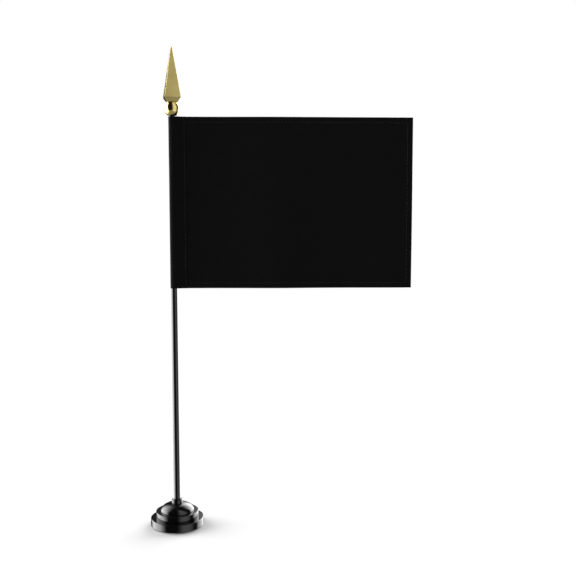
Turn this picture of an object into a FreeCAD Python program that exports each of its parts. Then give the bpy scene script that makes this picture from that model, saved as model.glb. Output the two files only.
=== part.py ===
import FreeCAD, Part
import math
import os

# Desk flag stand, in millimetres. +Z is up along the pole, the flag flies
# towards +X in the plane y = 0, and the origin is the centre of the underside.

# Base: two moulded discs and a dome, hollow underneath, wall about 1.4 thick
baseRadius = 16.1
rimBottom = 0.3
lowerTop = 5.0
middleRadius = 13.0
middleTop = 9.0
domeRadius = 10.2  # where the dome meets the middle disc
domeHeight = 5.1  # half an ellipsoid, before the collar is let into it
wall = 1.4
footRound = 0.45
edgeRound = 0.4

# What closes and weights the base
recessRadius = 14.5
padThickness = 0.8
plateThickness = 1.2
sideGap = 0.1
ballastOuter = 11.3
ballastInner = 4.6
ballastTop = 7.3

# Socket bush that holds the pole and turns in the base
bossRadius = 4.3
bushRadius = 2.8
bushBottom = 2.6
bushFloor = 3.8
collarRadius = 3.4
collarSeat = 13.2
collarTop = 16.1
collarRound = 0.6
mouthRadius = 2.6
mouthDepth = 0.5
turnClearance = 0.06

# Pole
poleRadius = 2.0
poleFootRound = 0.4
poleClearance = 0.06
poleFloorGap = 0.05

# Finial: a ball pushed onto the pole and a four-sided spear pushed onto a stud in it
ballRadius = 4.8
ballCentre = 252.5
ballSocketTop = 252.4
studRadius = 1.5
studBottom = 253.2
studTop = 260.4
studEndGap = 0.2
spearSide = 9.47  # square section at its widest
spearWidest = 258.8
spearFootSide = 5.4
spearFoot = 255.6
spearTipSide = 0.8
spearTip = 288.0
spearEdgeRound = 0.15
spearTurn = 12.5  # degrees about the pole
seatGap = 0.15

# Flag: 4 inch hoist, with its sleeve round the pole
flagBottom = 146.2
flagHeight = 101.6
flyEdge = 142.8
sleeveOuter = 2.35
sleeveInner = 2.1
sleeveVoidEnd = 5.0
seamStart = 6.0
seamEnd = 8.0
clothHalf = 0.2
hemHalf = 0.4  # two more layers turned in
hemWidth = 4.0
threadWidth = 0.25
threadHeight = 0.12
threadInset = 3.3  # from the hem's outer edge
seamThreadX = 6.8
threadEnd = 0.8

flagTop = flagBottom + flagHeight
plateTop = padThickness + plateThickness
domeTop = middleTop + domeHeight


def up(z):
    return FreeCAD.Vector(0, 0, z)


def cylinder(radius, low, high):
    return Part.makeCylinder(radius, high - low, up(low))


def box(x, y, z):
    """A box from its (low, high) pairs along X, Y and Z."""
    size = [high - low for low, high in (x, y, z)]
    return Part.makeBox(*size, FreeCAD.Vector(x[0], y[0], z[0]))


def ringEdges(shape, radius, z):
    """The circular edges of that radius at that height."""
    found = []
    for edge in shape.Edges:
        if edge.Degenerated or not isinstance(edge.Curve, Part.Circle):
            continue
        if abs(edge.Curve.Radius - radius) < 1e-4 and abs(edge.Curve.Center.z - z) < 1e-4:
            found.append(edge)
    return found


def dome(radius, height):
    """Half an ellipsoid on the middle disc's top, with a plug of its own width under it."""
    rim = FreeCAD.Vector(radius, 0, middleTop)
    crown = up(middleTop + height)
    curve = Part.Ellipse(rim, crown, up(middleTop))
    edges = [Part.ArcOfEllipse(curve, 0, math.pi / 2).toShape()]
    corners = [crown, up(middleTop - wall), FreeCAD.Vector(radius, 0, middleTop - wall), rim]
    for start, end in zip(corners, corners[1:]):
        edges.append(Part.LineSegment(start, end).toShape())
    return Part.Face(Part.Wire(edges)).revolve(up(0), up(1), 360)


def baseShell():
    outside = cylinder(baseRadius, rimBottom, lowerTop)
    outside = outside.fuse(cylinder(middleRadius, lowerTop - 1, middleTop))
    outside = outside.fuse(dome(domeRadius, domeHeight)).removeSplitter()
    outside = outside.makeFillet(footRound, ringEdges(outside, baseRadius, rimBottom))
    rims = ringEdges(outside, baseRadius, lowerTop)
    rims += ringEdges(outside, middleRadius, middleTop)
    outside = outside.makeFillet(edgeRound, rims)
    inside = dome(domeRadius - wall, domeHeight - wall)
    inside = inside.fuse(cylinder(middleRadius - wall, lowerTop - wall - 1, middleTop - wall))
    inside = inside.fuse(cylinder(recessRadius, rimBottom - 1, lowerTop - wall))
    boss = cylinder(bossRadius, plateTop, domeTop).common(outside)
    shell = outside.cut(inside).fuse(boss)
    shell = shell.cut(cylinder(bushRadius + turnClearance, 0, domeTop + 1))
    seat = cylinder(collarRadius + turnClearance, collarSeat - turnClearance, domeTop + 1)
    return shell.cut(seat).removeSplitter()


def ballastDisc():
    return cylinder(ballastOuter, plateTop, ballastTop).cut(cylinder(ballastInner, 0, ballastTop + 1))


def bottomPlate():
    return cylinder(recessRadius - sideGap, padThickness, plateTop)


def antiSlipPad():
    return cylinder(recessRadius - sideGap, 0, padThickness)


def socketBush():
    bush = cylinder(bushRadius, bushBottom, collarSeat + 0.5)
    bush = bush.fuse(cylinder(collarRadius, collarSeat, collarTop)).removeSplitter()
    bush = bush.makeFillet(collarRound, ringEdges(bush, collarRadius, collarTop))
    bore = poleRadius + poleClearance
    bush = bush.cut(cylinder(bore, bushFloor, collarTop + 1))
    mouth = Part.makeCone(bore, mouthRadius, mouthDepth, up(collarTop - mouthDepth))
    return bush.cut(mouth)


def pole():
    rod = cylinder(poleRadius, bushFloor + poleFloorGap, ballSocketTop)
    foot = ringEdges(rod, poleRadius, bushFloor + poleFloorGap)
    return rod.makeFillet(poleFootRound, foot)


def finialBall():
    ball = Part.makeSphere(ballRadius, up(ballCentre))
    ball = ball.cut(cylinder(poleRadius + poleClearance, ballCentre - ballRadius - 1, ballSocketTop))
    return ball.cut(cylinder(studRadius + turnClearance, studBottom, ballCentre + ballRadius + 1))


def finialStud():
    return cylinder(studRadius, studBottom, studTop)


def square(side, z):
    half = side / 2
    corners = [(-half, -half), (half, -half), (half, half), (-half, half), (-half, -half)]
    return Part.makePolygon([FreeCAD.Vector(x, y, z) for x, y in corners])


def finialSpear():
    lower = Part.makeLoft([square(spearFootSide, spearFoot), square(spearSide, spearWidest)], True, True)
    upper = Part.makeLoft([square(spearSide, spearWidest), square(spearTipSide, spearTip)], True, True)
    spear = lower.fuse(upper).removeSplitter()
    ends = ({spearFoot}, {spearTip})
    ridges = [edge for edge in spear.Edges if {round(v.Z, 3) for v in edge.Vertexes} not in ends]
    spear = spear.makeFillet(spearEdgeRound, ridges)
    spear = spear.cut(Part.makeSphere(ballRadius + seatGap, up(ballCentre)))
    spear = spear.cut(cylinder(studRadius + turnClearance, spearFoot, studTop + studEndGap))
    spear.rotate(FreeCAD.Vector(0, 0, 0), FreeCAD.Vector(0, 0, 1), spearTurn)
    return spear


def tearWire(radius, tailX, tailY):
    """A loop round the pole whose two sides run straight to the tail."""
    turn = math.atan2(tailY, tailX) + math.acos(radius / math.hypot(tailX, tailY))
    sides = [FreeCAD.Vector(radius * math.cos(turn), s * radius * math.sin(turn), 0) for s in (1, -1)]
    back = FreeCAD.Vector(-radius, 0, 0)
    tails = [FreeCAD.Vector(tailX, tailY, 0)]
    if tailY > 0:
        tails.append(FreeCAD.Vector(tailX, -tailY, 0))
    edges = [Part.Arc(sides[1], back, sides[0]).toShape()]
    corners = [sides[0]] + tails + [sides[1]]
    for start, end in zip(corners, corners[1:]):
        edges.append(Part.LineSegment(start, end).toShape())
    return Part.Wire(edges)


def poleSleeve():
    outer = Part.Face(tearWire(sleeveOuter, seamStart, hemHalf))
    inner = Part.Face(tearWire(sleeveInner, sleeveVoidEnd, 0))
    tube = outer.cut(inner).extrude(up(flagHeight))
    tube.translate(up(flagBottom))
    seam = box((seamStart, seamEnd), (-hemHalf, hemHalf), (flagBottom, flagTop))
    return tube.fuse(seam).removeSplitter()


def flagPanel():
    panel = box((seamEnd, flyEdge), (-clothHalf, clothHalf), (flagBottom, flagTop))
    hems = [
        box((seamEnd, flyEdge), (-hemHalf, hemHalf), (flagBottom, flagBottom + hemWidth)),
        box((seamEnd, flyEdge), (-hemHalf, hemHalf), (flagTop - hemWidth, flagTop)),
        box((flyEdge - hemWidth, flyEdge), (-hemHalf, hemHalf), (flagBottom, flagTop)),
    ]
    return panel.multiFuse(hems).removeSplitter()


def stitching(x, z):
    """A row of thread on each face of the cloth, between the ends given."""
    front = box(x, (-hemHalf - threadHeight, -hemHalf), z)
    back = box(x, (hemHalf, hemHalf + threadHeight), z)
    return Part.makeCompound([front, back])


def uprightRow(x, trim):
    return stitching((x, x + threadWidth), (flagBottom + trim, flagTop - trim))


def levelRow(z):
    return stitching((seamEnd + threadEnd, flyEdge - threadInset), (z, z + threadWidth))


parts = {
    "base_shell": baseShell(),
    "ballast_disc": ballastDisc(),
    "bottom_plate": bottomPlate(),
    "anti_slip_pad": antiSlipPad(),
    "socket_bush": socketBush(),
    "pole": pole(),
    "finial_ball": finialBall(),
    "finial_stud": finialStud(),
    "finial_spear": finialSpear(),
    "flag_panel": flagPanel(),
    "pole_sleeve": poleSleeve(),
    "sleeve_stitching": uprightRow(seamThreadX, threadEnd),
    "top_hem_stitching": levelRow(flagTop - threadInset),
    "bottom_hem_stitching": levelRow(flagBottom + threadInset - threadWidth),
    "fly_hem_stitching": uprightRow(flyEdge - threadInset, threadInset + threadWidth),
}

os.makedirs("parts", exist_ok=True)
for name, shape in parts.items():
    shape.exportStep(os.path.join("parts", name + ".step"))
    print(f"{name}: {shape.Volume:.2f} mm3, valid {shape.isValid()}, {len(shape.Solids)} solid(s)")
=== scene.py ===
import math
import random

import bmesh
import bpy
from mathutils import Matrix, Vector, noise


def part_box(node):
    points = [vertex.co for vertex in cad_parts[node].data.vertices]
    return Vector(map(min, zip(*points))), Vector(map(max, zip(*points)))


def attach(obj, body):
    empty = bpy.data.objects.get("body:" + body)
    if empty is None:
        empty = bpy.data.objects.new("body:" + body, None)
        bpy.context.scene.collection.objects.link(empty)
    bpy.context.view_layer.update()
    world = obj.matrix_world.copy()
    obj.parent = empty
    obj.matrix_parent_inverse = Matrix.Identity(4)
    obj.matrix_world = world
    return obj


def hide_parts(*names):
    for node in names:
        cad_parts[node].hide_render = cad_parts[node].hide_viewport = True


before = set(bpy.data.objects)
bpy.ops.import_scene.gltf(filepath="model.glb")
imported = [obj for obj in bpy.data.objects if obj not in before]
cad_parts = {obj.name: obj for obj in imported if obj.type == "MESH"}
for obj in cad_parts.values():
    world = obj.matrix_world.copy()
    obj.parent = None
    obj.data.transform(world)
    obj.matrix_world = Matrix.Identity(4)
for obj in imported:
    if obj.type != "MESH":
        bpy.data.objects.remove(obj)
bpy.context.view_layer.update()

print("desk flag stand: frame loaded,", len(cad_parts), "CAD nodes")


def mm(value):
    return value / 1000


def perMm(size):
    return 1000 / size  # texture scale, in metres, for a feature of this many millimetres


def colour(hexCode, alpha=1.0):
    channels = [int(hexCode[i:i + 2], 16) / 255 for i in (1, 3, 5)]
    linear = [c / 12.92 if c <= 0.04045 else ((c + 0.055) / 1.055) ** 2.4 for c in channels]
    return (*linear, alpha)


def addNode(tree, kind, inputs=None, **settings):
    node = tree.nodes.new(kind)
    for name, value in settings.items():
        setattr(node, name, value)
    for socket, value in (inputs or {}).items():
        if isinstance(value, bpy.types.NodeSocket):
            tree.links.new(value, node.inputs[socket])
        else:
            node.inputs[socket].default_value = value
    return node


def newMaterial(name, **settings):
    material = bpy.data.materials.new(name)
    material.use_nodes = True
    tree = material.node_tree
    shader = tree.nodes["Principled BSDF"]
    for socket, value in settings.items():
        shader.inputs[socket].default_value = value
    return material, tree, shader


def smooth(t):
    t = min(max(t, 0.0), 1.0)
    return t * t * (3 - 2 * t)


camera = {
    "lens": 52.0,  # mm on a 36 mm sensor
    "place": (mm(48.2), mm(-499.6), mm(194.7)),
    "pitch": 5.55,  # degrees down
    "turn": -2.3,  # degrees about Z, so to the right
}


def makeCamera():
    data = bpy.data.cameras.new("studioCamera")
    data.lens = camera["lens"]
    data.sensor_width = 36
    data.clip_start = 0.01
    cam = bpy.data.objects.new("studioCamera", data)
    bpy.context.scene.collection.objects.link(cam)
    cam.location = camera["place"]
    cam.rotation_euler = (math.radians(90 - camera["pitch"]), 0, math.radians(camera["turn"]))
    bpy.context.scene.camera = cam


makeCamera()


studio = {
    "board": "#dadada",
    "backdrop": "#ffffff",
    "floorHalf": 6.0,  # metres
    "fadeFrom": 0.06,  # metres from the stand, where the board starts to run into the sweep
    "fadeTo": 0.5,
    "ambient": 0.02,
    # left, rear right, front right, rear fill and floor glow; azimuth 0 is in front, + to the right;
    # half sizes and soft edges in degrees; lean is degrees of azimuth for each degree of elevation
    "softboxes": [
        {"azimuth": -101, "elevation": 8, "wide": 33, "high": 38,
         "edge": (20, 28), "lean": -0.25, "strength": 10.3},
        {"azimuth": 138, "elevation": 11, "wide": 29, "high": 32,
         "edge": (10, 22), "lean": 0.2, "strength": 9.0},
        {"azimuth": 46, "elevation": 20, "wide": 26, "high": 60,
         "edge": (18, 12), "lean": 0.0, "strength": 1.3},
        {"azimuth": 165, "elevation": 22, "wide": 20, "high": 18,
         "edge": (3, 10), "lean": 0.0, "strength": 1.0},
        {"azimuth": 0, "elevation": -75, "wide": 400, "high": 45,
         "edge": (1, 6), "lean": 0.0, "strength": 0.4},
    ],
}


def softboxNodes(tree, direction, box):
    turned = addNode(tree, "ShaderNodeVectorRotate", {
        "Vector": direction, "Angle": -math.radians(box["azimuth"])}, rotation_type="Z_AXIS")
    axes = addNode(tree, "ShaderNodeSeparateXYZ", {0: turned.outputs[0]})
    ahead = addNode(tree, "ShaderNodeMath", {0: axes.outputs[1], 1: -1.0}, operation="MULTIPLY")
    sideways = addNode(tree, "ShaderNodeMath", {0: axes.outputs[0], 1: ahead.outputs[0]}, operation="ARCTAN2")
    height = addNode(tree, "ShaderNodeMath", {0: axes.outputs[2]}, operation="ARCSINE")
    leaned = addNode(tree, "ShaderNodeMath", {0: height.outputs[0], 1: -box["lean"], 2: sideways.outputs[0]},
                     operation="MULTIPLY_ADD")
    lifted = addNode(tree, "ShaderNodeMath", {0: height.outputs[0], 1: math.radians(box["elevation"])},
                     operation="SUBTRACT")
    lit = box["strength"]
    for angle, half, edge in ((leaned, box["wide"], box["edge"][0]), (lifted, box["high"], box["edge"][1])):
        away = addNode(tree, "ShaderNodeMath", {0: angle.outputs[0]}, operation="ABSOLUTE")
        window = addNode(tree, "ShaderNodeMapRange", {
            "Value": away.outputs[0],
            "From Min": math.radians(half - edge), "From Max": math.radians(half + edge),
            "To Min": 1.0, "To Max": 0.0}, interpolation_type="SMOOTHSTEP")
        lit = addNode(tree, "ShaderNodeMath", {0: window.outputs[0], 1: lit}, operation="MULTIPLY").outputs[0]
    return lit


def makeWorld():
    world = bpy.data.worlds.new("softStudio")
    bpy.context.scene.world = world
    world.use_nodes = True
    tree = world.node_tree
    direction = addNode(tree, "ShaderNodeTexCoord").outputs["Generated"]
    total = None
    for box in studio["softboxes"]:
        before = studio["ambient"] if total is None else total.outputs[0]
        lit = softboxNodes(tree, direction, box)
        total = addNode(tree, "ShaderNodeMath", {0: lit, 1: before}, operation="ADD")
    room = addNode(tree, "ShaderNodeBackground", {"Strength": total.outputs[0]})
    plain = addNode(tree, "ShaderNodeBackground", {"Color": colour(studio["backdrop"])})
    seen = addNode(tree, "ShaderNodeLightPath")
    mix = addNode(tree, "ShaderNodeMixShader", {
        0: seen.outputs["Is Camera Ray"], 1: room.outputs[0], 2: plain.outputs[0]})
    tree.links.new(mix.outputs[0], tree.nodes["World Output"].inputs["Surface"])


def makeFloor():
    mesh = bpy.data.meshes.new("floor")
    half = studio["floorHalf"]
    corners = [(-half, -half, 0), (half, -half, 0), (half, half, 0), (-half, half, 0)]
    mesh.from_pydata(corners, [], [(0, 1, 2, 3)])
    floor = bpy.data.objects.new("floor", mesh)
    bpy.context.scene.collection.objects.link(floor)
    material, tree, shader = newMaterial("matt painted board", Roughness=0.9)
    shader.inputs["Specular IOR Level"].default_value = 0.1
    place = addNode(tree, "ShaderNodeTexCoord").outputs["Object"]
    away = addNode(tree, "ShaderNodeVectorMath", {0: place}, operation="LENGTH")
    tone = addNode(tree, "ShaderNodeTexNoise", {"Vector": place, "Scale": perMm(180)})
    mottle = addNode(tree, "ShaderNodeMapRange", {
        "Value": tone.outputs["Fac"], "To Min": 0.985, "To Max": 1.0})
    tint = addNode(tree, "ShaderNodeMix", {
        "Factor": 1.0, "A": colour(studio["board"]), "B": mottle.outputs[0]},
        data_type="RGBA", blend_type="MULTIPLY")
    tree.links.new(tint.outputs["Result"], shader.inputs["Base Color"])
    # the board runs out into an evenly lit sweep, so no horizon line shows
    sweep = addNode(tree, "ShaderNodeEmission", {"Color": colour(studio["backdrop"]), "Strength": 1.0})
    fade = addNode(tree, "ShaderNodeMapRange", {
        "Value": away.outputs["Value"], "From Min": studio["fadeFrom"], "From Max": studio["fadeTo"]},
        interpolation_type="SMOOTHSTEP")
    mix = addNode(tree, "ShaderNodeMixShader", {
        0: fade.outputs[0], 1: shader.outputs[0], 2: sweep.outputs[0]})
    tree.links.new(mix.outputs[0], tree.nodes["Material Output"].inputs["Surface"])
    mesh.materials.append(material)
    floor.visible_glossy = False  # the glossy base sees only the soft boxes


makeWorld()
makeFloor()
bpy.context.scene.view_settings.view_transform = "Standard"
print("studio ready")


def fineBump(tree, shader, height, strength, distance):
    bump = addNode(tree, "ShaderNodeBump", {"Strength": strength, "Distance": distance, "Height": height})
    tree.links.new(bump.outputs["Normal"], shader.inputs["Normal"])


def polishedAbs():
    # injection-moulded ABS from a polished tool: deep black, mirror-like with a faint orange peel and dust
    look = {"base": "#0a0a0b", "dust": "#3a3a3c", "peel": 2.6, "peelDepth": 0.006,
            "speck": 0.35, "scuff": 9.0}
    material, tree, shader = newMaterial("polished black ABS", IOR=1.54, Roughness=0.07)
    place = addNode(tree, "ShaderNodeTexCoord").outputs["Object"]
    peel = addNode(tree, "ShaderNodeTexNoise", {"Vector": place, "Scale": perMm(look["peel"]), "Detail": 1.0})
    fineBump(tree, shader, peel.outputs["Fac"], 0.35, mm(look["peelDepth"]))
    speck = addNode(tree, "ShaderNodeTexNoise", {
        "Vector": place, "Scale": perMm(look["speck"]), "Detail": 2.0})
    dust = addNode(tree, "ShaderNodeMapRange", {
        "Value": speck.outputs["Fac"], "From Min": 0.68, "From Max": 0.8, "To Max": 0.35})
    tint = addNode(tree, "ShaderNodeMix", {
        "Factor": dust.outputs[0], "A": colour(look["base"]), "B": colour(look["dust"])}, data_type="RGBA")
    tree.links.new(tint.outputs["Result"], shader.inputs["Base Color"])
    scuff = addNode(tree, "ShaderNodeTexNoise", {
        "Vector": place, "Scale": perMm(look["scuff"]), "Detail": 4.0})
    rough = addNode(tree, "ShaderNodeMapRange", {
        "Value": scuff.outputs["Fac"], "From Min": 0.35, "From Max": 0.75, "To Min": 0.05, "To Max": 0.11})
    tree.links.new(rough.outputs[0], shader.inputs["Roughness"])
    return material


def extrudedRod():
    # extruded styrene rod: gloss black with faint draw lines along its length
    look = {"base": "#0b0b0c", "line": 0.25, "run": 40.0}
    material, tree, shader = newMaterial("extruded black styrene", IOR=1.57, Roughness=0.1)
    shader.inputs["Base Color"].default_value = colour(look["base"])
    place = addNode(tree, "ShaderNodeTexCoord").outputs["Object"]
    squeezed = addNode(tree, "ShaderNodeMapping", {
        "Vector": place, "Scale": (perMm(look["line"]), perMm(look["line"]), perMm(look["run"]))})
    draw = addNode(tree, "ShaderNodeTexNoise", {"Vector": squeezed.outputs[0], "Scale": 1.0, "Detail": 3.0})
    fineBump(tree, shader, draw.outputs["Fac"], 0.3, mm(0.01))
    rough = addNode(tree, "ShaderNodeMapRange", {
        "Value": draw.outputs["Fac"], "From Min": 0.3, "From Max": 0.7, "To Min": 0.07, "To Max": 0.15})
    tree.links.new(rough.outputs[0], shader.inputs["Roughness"])
    return material


def goldPlate(name, roughness, grain):
    # bright brass-coloured plate over a moulding: pale gold, a little uneven where it was handled
    look = {"base": "#e0ce86", "handled": "#d2bf76", "cloud": 6.0}
    material, tree, shader = newMaterial(name, Metallic=1.0, Roughness=roughness)
    place = addNode(tree, "ShaderNodeTexCoord").outputs["Object"]
    cloud = addNode(tree, "ShaderNodeTexNoise", {
        "Vector": place, "Scale": perMm(look["cloud"]), "Detail": 3.0})
    soft = addNode(tree, "ShaderNodeMapRange", {
        "Value": cloud.outputs["Fac"], "From Min": 0.4, "From Max": 0.75})
    tint = addNode(tree, "ShaderNodeMix", {
        "Factor": soft.outputs[0], "A": colour(look["base"]), "B": colour(look["handled"])}, data_type="RGBA")
    tree.links.new(tint.outputs["Result"], shader.inputs["Base Color"])
    fine = addNode(tree, "ShaderNodeTexNoise", {"Vector": place, "Scale": perMm(grain), "Detail": 2.0})
    rough = addNode(tree, "ShaderNodeMapRange", {
        "Value": fine.outputs["Fac"], "From Min": 0.3, "From Max": 0.7,
        "To Min": roughness * 0.8, "To Max": roughness * 1.3})
    tree.links.new(rough.outputs[0], shader.inputs["Roughness"])
    fineBump(tree, shader, fine.outputs["Fac"], 0.15, mm(0.004))
    return material


def wovenPolyester():
    # plain-woven dyed polyester: dead black, threads just catching the light
    # the real thread pitch is 0.25 mm, doubled here so that it shows
    look = {"warp": "#050506", "weft": "#070708", "thread": 0.5}
    material, tree, shader = newMaterial("woven black polyester", Roughness=0.85)
    shader.inputs["Specular IOR Level"].default_value = 0.12
    shader.inputs["Sheen Weight"].default_value = 0.02
    shader.inputs["Sheen Roughness"].default_value = 0.4
    cloth = addNode(tree, "ShaderNodeUVMap", uv_map="weave")
    axes = addNode(tree, "ShaderNodeSeparateXYZ", {0: cloth.outputs[0]})
    ridges = []
    for i in (0, 1):
        turn = addNode(tree, "ShaderNodeMath", {0: axes.outputs[i], 1: math.pi * perMm(look["thread"])},
                       operation="MULTIPLY")
        wave = addNode(tree, "ShaderNodeMath", {0: turn.outputs[0]}, operation="SINE")
        ridges.append(wave)
    crossing = addNode(tree, "ShaderNodeMath", {0: ridges[0].outputs[0], 1: ridges[1].outputs[0]},
                       operation="MULTIPLY")
    over = addNode(tree, "ShaderNodeMath", {0: crossing.outputs[0], 1: 0.0}, operation="GREATER_THAN")
    tops = [addNode(tree, "ShaderNodeMath", {0: r.outputs[0]}, operation="ABSOLUTE") for r in ridges]
    height = addNode(tree, "ShaderNodeMix", {
        "Factor": over.outputs[0], "A": tops[0].outputs[0], "B": tops[1].outputs[0]}, data_type="FLOAT")
    tint = addNode(tree, "ShaderNodeMix", {
        "Factor": over.outputs[0], "A": colour(look["warp"]), "B": colour(look["weft"])}, data_type="RGBA")
    tree.links.new(tint.outputs["Result"], shader.inputs["Base Color"])
    fineBump(tree, shader, height.outputs["Result"], 0.5, mm(0.06))
    return material


def sewingThread():
    # twisted polyester thread: a touch shinier than the cloth, so the stitches read as small beads
    look = {"base": "#101011", "ply": 0.12}
    material, tree, shader = newMaterial("black polyester sewing thread", Roughness=0.55)
    shader.inputs["Base Color"].default_value = colour(look["base"])
    shader.inputs["Specular IOR Level"].default_value = 0.35
    place = addNode(tree, "ShaderNodeTexCoord").outputs["Object"]
    ply = addNode(tree, "ShaderNodeTexWave", {"Vector": place, "Scale": perMm(look["ply"]) / math.tau},
                  bands_direction="DIAGONAL")
    fineBump(tree, shader, ply.outputs["Fac"], 0.4, mm(0.02))
    return material


def foamRubber():
    # closed-cell EVA foam: matt, finely pitted
    look = {"base": "#1b1b1c", "cell": 0.45}
    material, tree, shader = newMaterial("black EVA foam", Roughness=0.95)
    shader.inputs["Base Color"].default_value = colour(look["base"])
    place = addNode(tree, "ShaderNodeTexCoord").outputs["Object"]
    cells = addNode(tree, "ShaderNodeTexVoronoi", {"Vector": place, "Scale": perMm(look["cell"])})
    fineBump(tree, shader, cells.outputs["Distance"], 0.6, mm(0.08))
    return material


def mouldedPlate():
    # matt-tooled ABS plate: fine spark-eroded grain
    look = {"base": "#161617", "grain": 0.3}
    material, tree, shader = newMaterial("matt black ABS", IOR=1.54, Roughness=0.6)
    shader.inputs["Base Color"].default_value = colour(look["base"])
    place = addNode(tree, "ShaderNodeTexCoord").outputs["Object"]
    grain = addNode(tree, "ShaderNodeTexNoise", {
        "Vector": place, "Scale": perMm(look["grain"]), "Detail": 2.0})
    fineBump(tree, shader, grain.outputs["Fac"], 0.5, mm(0.03))
    return material


def turnedSteel(name, groove):
    # lathe-turned mild steel: fine rings about the centre
    look = {"base": "#a9a9ab"}
    material, tree, shader = newMaterial(name, Metallic=1.0, Roughness=0.35)
    shader.inputs["Base Color"].default_value = colour(look["base"])
    place = addNode(tree, "ShaderNodeTexCoord").outputs["Object"]
    rings = addNode(tree, "ShaderNodeTexWave", {"Vector": place, "Scale": perMm(groove) / math.tau},
                    wave_type="RINGS", rings_direction="Z")
    fineBump(tree, shader, rings.outputs["Fac"], 0.3, mm(0.02))
    return material


finishes = {
    "black_moulding": polishedAbs(),
    "pole_plastic": extrudedRod(),
    "plate_plastic": mouldedPlate(),
    "foam_pad": foamRubber(),
    "ballast_steel": turnedSteel("turned mild steel", 0.4),
    "stud_steel": turnedSteel("zinc-plated steel", 0.25),
    "flag_cloth": wovenPolyester(),
    "thread": sewingThread(),
}
finishes["bush_plastic"] = finishes["black_moulding"]
mirrorGold = goldPlate("polished gold plate", 0.05, 0.6)
satinGold = goldPlate("satin gold plate", 0.18, 0.4)

nodeFinish = {
    "base_shell": finishes["black_moulding"],
    "socket_bush": finishes["bush_plastic"],
    "bottom_plate": finishes["plate_plastic"],
    "anti_slip_pad": finishes["foam_pad"],
    "ballast_disc": finishes["ballast_steel"],
    "pole": finishes["pole_plastic"],
    "finial_ball": mirrorGold,
    "finial_spear": satinGold,
    "finial_stud": finishes["stud_steel"],
}
for nodeName, material in nodeFinish.items():
    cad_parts[nodeName].data.materials.clear()
    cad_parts[nodeName].data.materials.append(material)
print("hard parts finished")


panelLow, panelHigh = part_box("flag_panel")
sleeveLow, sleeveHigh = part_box("pole_sleeve")
poleLow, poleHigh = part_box("pole")

flag = {
    "cloth": mm(0.22),  # thickness of one layer
    "hem": mm(4.0),  # turned twice to the back
    "proud": mm(0.05),  # how far a hem lifts the front face
    "step": mm(0.35),  # how sharply a hem's inner edge drops to the single cloth
    "edge": mm(0.35),  # rounding of a folded edge
    "tuck": mm(2.2),  # how far the panel runs in between the sleeve's two sides
    "grid": mm(1.3),
    "fineGrid": mm(0.18),  # along the hems
    "dent": mm(0.07),  # how deep a row of stitches draws the cloth in
    "dentWidth": mm(0.35),
    "stitchTrim": mm(0.8),  # bare cloth at each end of a row
    "bow": mm(2.4),  # the cloth bows to the front near the sleeve and eases back again
    "ripple": mm(0.5),
    "pucker": mm(0.10),
    "stitch": mm(2.3),
    "threadWidth": mm(0.27),
    "stitchInset": mm(3.2),
    "seamStitch": mm(1.1),  # from the sleeve's edge
}
panelWidth = panelHigh.x - panelLow.x
panelHeight = panelHigh.z - panelLow.z


def clothOffset(x, z):  # how far the cloth stands behind its flat plane
    along = (x - panelLow.x) / panelWidth
    up = (z - panelLow.z) / panelHeight
    free = smooth(along * 1.6)
    rise = smooth(along / 0.26)
    ease = 0.58 * smooth((along - 0.34) / 0.22) + 0.12 * smooth(along * 5 - 4)
    back = -flag["bow"] * (rise - ease)
    wave = math.sin(math.tau * (along * 1.7 - 0.25 * up + 0.1)) * (0.4 + 0.6 * (1 - up))
    fine = noise.noise(Vector((x * 28, z * 17, 4.2))) * 1.4
    return free * (back + flag["ripple"] * (wave + fine))


def spread(low, high, spacing, denseEnds):  # positions from low to high, closer together near both ends
    span = high - low
    steps = max(4, round((span - 2 * denseEnds) / spacing))
    middle = [low + denseEnds + (span - 2 * denseEnds) * i / steps for i in range(steps + 1)]
    count = round(denseEnds / flag["fineGrid"])
    ends = [low + denseEnds * i / count for i in range(count)]
    return ends + middle + [high - denseEnds * (count - 1 - i) / count for i in range(count)]


def newPiece(name, verts, faces, body, slotName, nodes):
    mesh = bpy.data.meshes.new(name)
    mesh.from_pydata([tuple(v) for v in verts], [], faces)
    shell = bmesh.new()
    shell.from_mesh(mesh)
    bmesh.ops.recalc_face_normals(shell, faces=shell.faces)
    shell.to_mesh(mesh)
    shell.free()
    for polygon in mesh.polygons:
        polygon.use_smooth = True
    piece = bpy.data.objects.new(name, mesh)
    bpy.context.scene.collection.objects.link(piece)
    mesh.materials.append(finishes[slotName])
    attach(piece, body)
    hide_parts(*nodes)
    return piece


def weaveUv(piece, places):  # a map in metres along warp and weft, one place for each vertex
    layer = piece.data.uv_layers.new(name="weave")
    for loop in piece.data.loops:
        layer.data[loop.index].uv = places[loop.vertex_index]


# How far the front and back faces stand from the middle of the single cloth, hems and stitch dents included.
def clothFaces(x, z):
    edges = (panelHigh.x - x, min(panelHigh.z - z, z - panelLow.z))
    turned = [1 - smooth((edge - flag["hem"] + flag["step"] / 2) / flag["step"]) for edge in edges]
    hem = turned[0] + turned[1] - 0.4 * turned[0] * turned[1]  # the corner is folded over itself
    hem *= smooth((x - panelLow.x) / mm(0.3))  # single where the sleeve grips it
    dent = max(math.exp(-((edge - flag["stitchInset"]) / flag["dentWidth"]) ** 2) for edge in edges)
    dent *= flag["dent"] * min(hem, 1)
    half = flag["cloth"] / 2
    return half + flag["proud"] * hem - dent, half + 2 * flag["cloth"] * hem - dent


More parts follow.
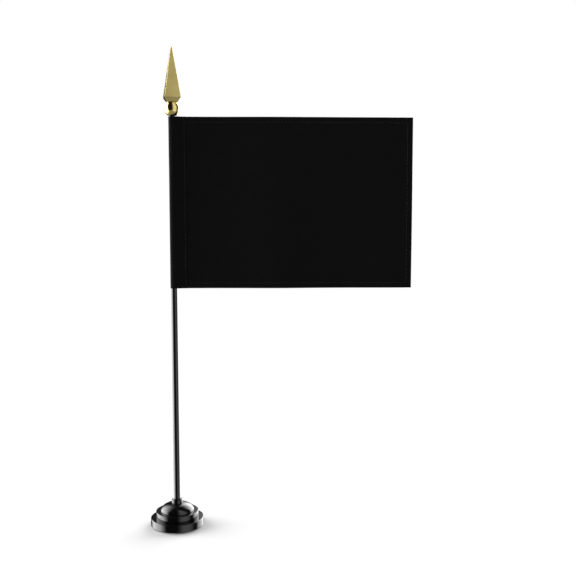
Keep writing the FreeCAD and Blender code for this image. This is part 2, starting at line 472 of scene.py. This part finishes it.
def makePanel():
    hoist = panelLow.x - flag["tuck"]
    xs = spread(hoist, panelHigh.x, flag["grid"], flag["hem"] + mm(0.6))
    zs = spread(panelLow.z, panelHigh.z, flag["grid"], flag["hem"] + mm(0.6))
    verts, places, at = [], [], {}
    for i, x in enumerate(xs):
        for j, z in enumerate(zs):
            rim = min(panelHigh.x - x, panelHigh.z - z, z - panelLow.z)
            pinch = math.sqrt(max(0.0, 1 - (1 - min(rim / flag["edge"], 1)) ** 2))
            forward, behind = clothFaces(x, z)
            alongHem = x if min(panelHigh.z - z, z - panelLow.z) < panelHigh.x - x else z
            gathered = min(1.0, (behind - forward) / flag["cloth"])
            pucker = flag["pucker"] * gathered * noise.noise(Vector((alongHem * 260, rim * 60, 1.0)))
            middle = clothOffset(x, z) + pucker + (behind - forward) / 2
            half = (behind + forward) / 2 * pinch
            for side in (-1, 1):
                at[i, j, side] = len(verts)
                verts.append((x, middle + side * half, z))
                places.append((x, z))
    faces = []
    last, top = len(xs) - 1, len(zs) - 1
    for i in range(last):
        for j in range(top):
            for side in (-1, 1):
                faces.append((at[i, j, side], at[i + 1, j, side], at[i + 1, j + 1, side], at[i, j + 1, side]))
    for i in (0, last):
        for j in range(top):
            faces.append((at[i, j, -1], at[i, j, 1], at[i, j + 1, 1], at[i, j + 1, -1]))
    for j in (0, top):
        for i in range(last):
            faces.append((at[i, j, -1], at[i, j, 1], at[i + 1, j, 1], at[i + 1, j, -1]))
    piece = newPiece("flagPanel", verts, faces, "flag", "flag_cloth", ["flag_panel"])
    weaveUv(piece, places)
    return piece


sleeve = {
    "loop": (poleHigh.x - poleLow.x) / 2 + flag["cloth"] / 2 + mm(0.03),  # radius of the cloth's middle
    "gather": mm(2.0),  # the sleeve's tail, where its two sides meet
    "steps": 40,
    "slack": mm(0.06),  # how loosely it lies round the pole
}


# The middle of the sleeve's cloth from its back edge, round the pole, to its front edge, as (x, y).
def sleevePath():
    radius, gap = sleeve["loop"], flag["cloth"] + mm(0.02)
    meet = Vector((sleeveHigh.x - sleeve["gather"] - mm(0.4), gap))
    lean = math.atan2(meet.y, meet.x) + math.acos(radius / meet.length)
    points = []
    tail = 8
    for i in range(tail):
        points.append(Vector((sleeveHigh.x + (meet.x - sleeveHigh.x) * i / tail, gap)))
    side = Vector((radius * math.cos(lean), radius * math.sin(lean)))
    for i in range(6):
        points.append(meet.lerp(side, i / 6))
    for i in range(sleeve["steps"] + 1):
        angle = lean + (math.tau - 2 * lean) * i / sleeve["steps"]
        points.append(Vector((radius * math.cos(angle), radius * math.sin(angle))))
    half = points[:tail + 6]
    return points + [Vector((p.x, -p.y)) for p in reversed(half)]


def makeSleeve():
    path = sleevePath()
    for _ in range(2):  # ease the corners where the sides meet
        path = [path[0]] + [(a + 2 * b + c) / 4 for a, b, c in zip(path, path[1:], path[2:])] + [path[-1]]
    normals, lengths = [], [0.0]
    for i in range(len(path)):
        run = path[min(i + 1, len(path) - 1)] - path[max(i - 1, 0)]
        normals.append(Vector((run.y, -run.x)).normalized())
    for a, b in zip(path, path[1:]):
        lengths.append(lengths[-1] + (b - a).length)
    zs = spread(sleeveLow.z, sleeveHigh.z, flag["grid"], mm(1.2))
    verts, places = [], []
    for j, z in enumerate(zs):
        rim = min(z - sleeveLow.z, sleeveHigh.z - z)
        pinch = math.sqrt(max(0.0, 1 - (1 - min(rim / flag["edge"], 1)) ** 2))
        for i, (point, normal) in enumerate(zip(path, normals)):
            end = min(lengths[i], lengths[-1] - lengths[i])
            cut = math.sqrt(max(0.0, 1 - (1 - min(end / flag["edge"], 1)) ** 2))
            loose = 1 + noise.noise(Vector((lengths[i] * 160, z * 45, 7)))
            slack = sleeve["slack"] * smooth((end - mm(2)) / mm(3)) * loose
            dent = math.exp(-((end - flag["seamStitch"]) / flag["dentWidth"]) ** 2) * flag["dent"]
            seam = Vector((0, clothOffset(point.x, z)))
            half = flag["cloth"] / 2 * min(pinch, cut)
            for side in (-1, 1):  # inner face, then outer
                away = max(half - (dent if side > 0 else 0), mm(0.01))
                spot = point + seam + normal * (slack + side * away)
                verts.append((spot.x, spot.y, z))
                places.append((lengths[i], z))
    count, rows = len(path), len(zs)
    faces = []

    def at(i, j, side):
        return (j * count + i) * 2 + side

    for j in range(rows - 1):
        for i in range(count - 1):
            for side in (0, 1):
                faces.append((at(i, j, side), at(i + 1, j, side), at(i + 1, j + 1, side), at(i, j + 1, side)))
        for i in (0, count - 1):
            faces.append((at(i, j, 0), at(i, j, 1), at(i, j + 1, 1), at(i, j + 1, 0)))
    for i in range(count - 1):
        for j in (0, rows - 1):
            faces.append((at(i, j, 0), at(i, j, 1), at(i + 1, j, 1), at(i + 1, j, 0)))
    piece = newPiece("poleSleeve", verts, faces, "flag", "flag_cloth", ["pole_sleeve"])
    weaveUv(piece, places)
    return piece, lengths[-1]


# One stitch: a short arched thread whose ends dive into the cloth.
def stitchVerts(start, end, outward, verts, faces):
    rings, sides = 7, 6
    run = end - start
    across = run.cross(outward).normalized()
    radius = flag["threadWidth"] / 2
    base = len(verts)
    for i in range(rings):
        t = i / (rings - 1)
        rise = math.sin(math.pi * t) ** 0.6
        centre = start + run * (0.04 + 0.92 * t) + outward * (radius * (1.15 * rise - 0.75))
        thin = 0.7 + 0.3 * rise
        for k in range(sides):
            angle = math.tau * k / sides
            spoke = across * math.cos(angle) + outward * math.sin(angle) * 0.8
            verts.append(centre + spoke * radius * thin)
    for i in range(rings - 1):
        for k in range(sides):
            a, b = base + i * sides + k, base + i * sides + (k + 1) % sides
            faces.append((a, b, b + sides, a + sides))
    faces.append(tuple(base + k for k in reversed(range(sides))))
    faces.append(tuple(base + (rings - 1) * sides + k for k in range(sides)))


# A lockstitch row between two points, on both faces of the cloth.
def makeStitches(name, node, start, end, faceDepths):
    rng = random.Random(name)
    run = end - start
    count = round(run.length / flag["stitch"])
    verts, faces = [], []
    for i in range(count):
        for side in (-1, 1):
            ends = []
            for share in (0.06, 0.94):
                point = start + run * (i + share) / count
                depth = faceDepths(point.x, point.z)[0 if side < 0 else 1]
                wander = Vector((rng.uniform(-1, 1), 0, rng.uniform(-1, 1))) * mm(0.04)
                ends.append(point + wander + Vector((0, clothOffset(point.x, point.z) + side * depth, 0)))
            stitchVerts(ends[0], ends[1], Vector((0, side, 0)), verts, faces)
    return newPiece(name, verts, faces, "flag", "thread", [node])


def makeFlag():
    panel = makePanel()
    loop, loopLength = makeSleeve()
    inset = flag["stitchInset"]
    seamX = sleeveHigh.x - flag["seamStitch"]
    left, right = panelLow.x + flag["stitchTrim"], panelHigh.x - inset
    low, high = panelLow.z + inset, panelHigh.z - inset
    seamLow, seamHigh = panelLow.z + flag["stitchTrim"], panelHigh.z - flag["stitchTrim"]
    seamDepth = 1.5 * flag["cloth"] - mm(0.03)
    plan = [  # name, CAD node, start, end, depth of the cloth's two faces
        ("sleeveStitches", "sleeve_stitching", (seamX, seamLow), (seamX, seamHigh),
         lambda x, z: (seamDepth, seamDepth)),
        ("topHemStitches", "top_hem_stitching", (left, high), (right, high), clothFaces),
        ("bottomHemStitches", "bottom_hem_stitching", (left, low), (right, low), clothFaces),
        ("flyHemStitches", "fly_hem_stitching", (right, low), (right, high), clothFaces),
    ]
    rows = [makeStitches(name, node, Vector((a[0], 0, a[1])), Vector((b[0], 0, b[1])), depths)
            for name, node, a, b, depths in plan]
    print("flag sewn:", round(loopLength * 1000, 1), "mm of cloth round the pole")


makeFlag()
